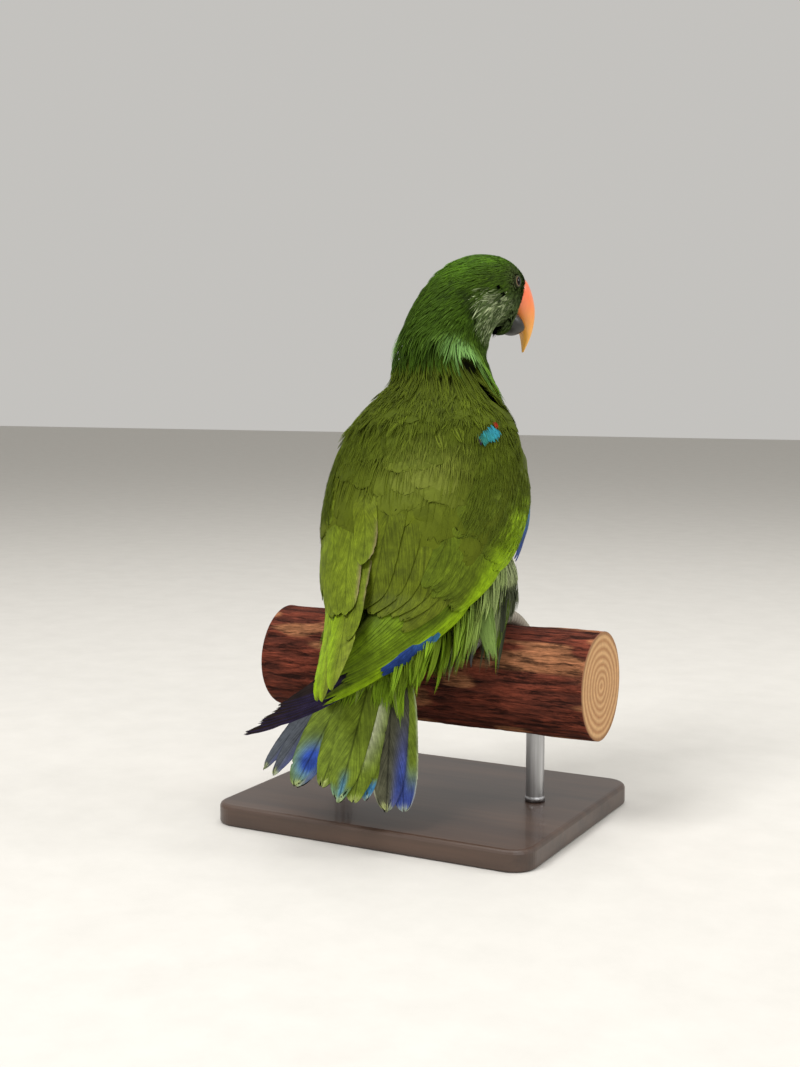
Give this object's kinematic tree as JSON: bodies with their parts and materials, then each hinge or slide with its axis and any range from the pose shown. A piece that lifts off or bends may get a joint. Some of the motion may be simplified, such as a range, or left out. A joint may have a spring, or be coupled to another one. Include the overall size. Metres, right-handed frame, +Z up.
{
  "type": "eclectus parrot model",
  "caption": "Still life-size model of a green parrot with an orange bill and a fanned blue-tipped tail, perched on a cut length of log on a plain stand.",
  "frame": {"origin": "centre of the underside of the stand's base", "axes": "+Z up, away from the base; the perch runs along X; the bird looks towards -Y, turned a little to its right, and its tail hangs on the +Y side"},
  "size_m": [0.21, 0.2161, 0.3335],
  "materials": {
    "head_feathers": "soft feathers, mid green",
    "body_feathers": "soft feathers, olive green",
    "wing_feathers": "vaned feathers, yellow-green with blue and dark violet edges",
    "tail_feathers": "vaned feathers, green to blue with pale yellow tips",
    "thigh_feathers": "loose feathers, grey-green",
    "bill_orange": "smooth horn, coral orange to yellow",
    "bill_dark": "smooth horn, near black",
    "eye": "wet gloss, dark pupil in a pale orange ring",
    "foot_scales": "scaly skin, cream grey",
    "claw": "smooth horn, dark grey",
    "bark": "stringy red-brown bark, pale cut ends",
    "stand_wood": "satin dark wood",
    "stand_metal": "brushed"
  },
  "bodies": {
    "root": {"head": "head_feathers", "neck": "body_feathers", "torso": "body_feathers", "bill_upper": "bill_orange", "bill_lower": "bill_dark", "eye_right": "eye", "eye_left": "eye", "wing_right": "wing_feathers", "wing_left": "wing_feathers", "tail": "tail_feathers", "leg_right": "thigh_feathers", "leg_left": "thigh_feathers", "foot_right": "foot_scales", "foot_left": "foot_scales", "claw_right_inner_front": "claw", "claw_right_outer_front": "claw", "claw_right_inner_back": "claw", "claw_right_outer_back": "claw", "claw_left_inner_front": "claw", "claw_left_outer_front": "claw", "claw_left_inner_back": "claw", "claw_left_outer_back": "claw", "perch": "bark", "stand_base": "stand_wood", "stand_rod_right": "stand_metal", "stand_rod_left": "stand_metal"}
  },
  "joints": []
}
